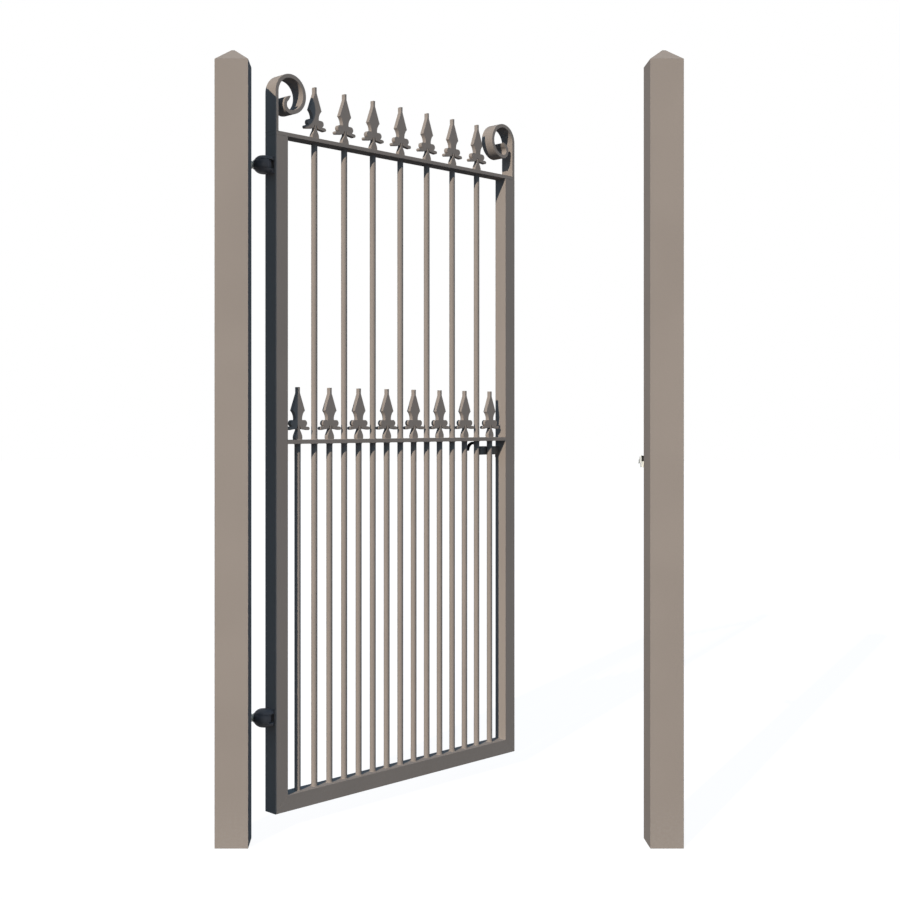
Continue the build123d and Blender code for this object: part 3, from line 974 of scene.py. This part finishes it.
for place, level in hinge_levels.items():
    stud_end = (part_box(f"{place}_hinge_eyebolt")[0].x - hinge_x) / MILLIMETRE
    form = bmesh.new()
    turn_sector(form, BAND, level, FREE_FROM, FREE_TO)
    skin_rings(form, turn_profile(form, EYE_RING, level), loop=True)
    bmesh.ops.transform(form, matrix=about_pin, verts=form.verts)
    low = (bracket_far, post_back, level - BRACKET_HALF)
    high = (bracket_near, hinge_y + BRACKET_PAST, level + BRACKET_HALF)
    rounded_block(form, low, high, BRACKET_EASING)
    lay_collar(form, SHANK, level)
    lay_thread(form, stud_end + END_GAP, BRACKET_FAR, level)
    bolt = finish_piece(form, f"{place}_ball_eyebolt", "posts", "hinge_steel")
    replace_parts(bolt, f"{place}_hinge_eyebolt")
    form = bmesh.new()
    lay_nut(form, BRACKET_FAR - NUT_THICK, BRACKET_FAR, level)
    lay_nut(form, BRACKET_NEAR, BRACKET_NEAR + NUT_THIN, level)
    lay_collar(form, WASHER, level)
    nuts = finish_piece(form, f"{place}_lock_nuts", "posts", "galvanised_steel")
    for face in nuts.data.polygons:
        face.use_smooth = False
print("eyebolts and nuts at", len(hinge_levels), "hinges, stud ends at", round(stud_end, 1), "mm")

# %% [markdown]
# The brackets and the keep's arm are welded to the backs of the posts, and the clevis necks to the hinge
# stile. From the front most of this is hidden, but it shows from behind, where the gate is opened.

# %% Welds at the posts and hinges
BRACKET_BEAD, KEEP_BEAD, NECK_BEAD = 0.0022, 0.0020, 0.0018
KEEP_ARM = 0.009
backward = Vector((0, 1, 0))
form = bmesh.new()
for place, level in hinge_levels.items():
    low = (bracket_far, post_back, level - BRACKET_HALF)
    high = (bracket_near, post_back, level + BRACKET_HALF)
    lay_bead(form, flat_path(low, high), backward, radius=BRACKET_BEAD)
keep_low, keep_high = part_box("latch_keep")
low = (keep_high.x - KEEP_ARM, post_back, keep_low.z)
high = (keep_high.x, post_back, keep_high.z)
lay_bead(form, flat_path(low, high), backward, radius=KEEP_BEAD)
post_welds = finish_piece(form, "post_welds", "posts", "taupe_paint")
form = bmesh.new()
outward = Vector((-1, 0, 0))
for place, level in hinge_levels.items():
    low = (stile_face, -NECK_HALF, level - NECK_HIGH)
    high = (stile_face, NECK_HALF, level + NECK_HIGH)
    lay_bead(form, flat_path(low, high), outward, radius=NECK_BEAD)
hinge_welds = finish_piece(form, "hinge_welds", "leaf", "hinge_steel", leaf_place)
print("welds at the posts", len(post_welds.data.polygons), "faces")
print("welds at the hinges", len(hinge_welds.data.polygons), "faces")

# %% [markdown]
# The latch is blackened iron. Its carrier is a plate on the stile, worn to a grey by hands. Its end face,
# which looks back along the leaf towards the hinge, is painted black as shade, so one piece has two
# finishes, and the way each face looks tells which of them it gets.

# %% Latch carrier
CARRIER_END = 0.8034
SHADED_END_FACING = -0.8
WORN_DEEP, WORN_LIGHT = colour(0.200, 0.178, 0.152), colour(0.270, 0.238, 0.200)
latch_level = frame["record"]["behaviour"]["joints"][1]["pos_m"][2]


def trimmed_carrier(spot):
    """The rule for the carrier, which stops short of the last full bar so that the black drop bar shows."""
    local = to_leaf @ spot
    local.x = max(local.x, CARRIER_END)
    return leaf_place @ local


carrier = eased_copy("latch_carrier", IRONWORK_EASING, trimmed_carrier)
eased["latch_carrier"] = carrier
carrier.data.materials.clear()
carrier.data.materials.append(black_iron("worn_ironwork", WORN_DEEP, WORN_LIGHT))
carrier.data.materials.append(finishes["black_ironwork"])
leaf_turn = to_leaf.to_3x3()
# The end face, picked by the way it faces, gets the black finish as painted shade.
for face in carrier.data.polygons:
    if (leaf_turn @ face.normal).x < SHADED_END_FACING:
        face.material_index = 1
print("carrier from", CARRIER_END, "m along the leaf")

# %% [markdown]
# The drop bar behind the carrier ends in a finger tail. A smith draws such a tail out round and a little
# finer towards the tip, so a round rod is swept along the tail's arc, over the flat one of the CAD bar.

# %% Finger tail
TAIL_CENTRE = Vector((0.794, 0.029, latch_level))
TAIL_RADIUS = 0.0223
TAIL_FROM, TAIL_TO = 4, 181
TAIL_STEPS = 40
ROD_SIDES = 14
ROD_THICK, ROD_TAPER = 0.0041, 0.0010
ROD_DEPTH = 0.0052
form = bmesh.new()
rings = []
for step in range(TAIL_STEPS + 1):
    share = step / TAIL_STEPS
    turn = math.radians(TAIL_FROM + (TAIL_TO - TAIL_FROM) * share)
    ray = Vector((math.cos(turn), 0, math.sin(turn)))
    middle = TAIL_CENTRE + ray * TAIL_RADIUS
    thick = ROD_THICK - ROD_TAPER * share
    ring = []
    for side in range(ROD_SIDES):
        around = 2 * math.pi * side / ROD_SIDES
        aside = Vector((0, ROD_DEPTH * math.sin(around), 0))
        ring.append(form.verts.new(middle + ray * (thick * math.cos(around)) + aside))
    rings.append(ring)
skin_rings(form, rings)
form.faces.new(rings[0])
form.faces.new(rings[-1])
finger_tail = finish_piece(form, "finger_tail", "latch", "black_ironwork", leaf_place)
print("finger tail", len(finger_tail.data.polygons), "faces at", round(latch_level, 4), "m")

# %% [markdown]
# The rubber buffer is pushed into the keep's front ear from its open end and stands a hair proud of it.
# Its black is the rubber's own and also stands as painted shade in the ear's notch. Rubber keeps no sharp
# corner, so its edges are eased as well.

# %% Keep buffer
BUFFER_PUSH = 0.002
BUFFER_PROUD = 0.0006
BUFFER_EASING = 0.0005
buffer_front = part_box("keep_buffer")[0].y


def seated_buffer(spot):
    """The rule for the buffer: out to the keep's end, and proud of its front."""
    proud = BUFFER_PROUD if abs(spot.y - buffer_front) < SAME_LEVEL else 0
    return Vector((spot.x - BUFFER_PUSH, spot.y - proud, spot.z))


# The buffer keeps its black rubber, which also stands as painted shade in the notch.
eased["keep_buffer"] = eased_copy("keep_buffer", BUFFER_EASING, seated_buffer)
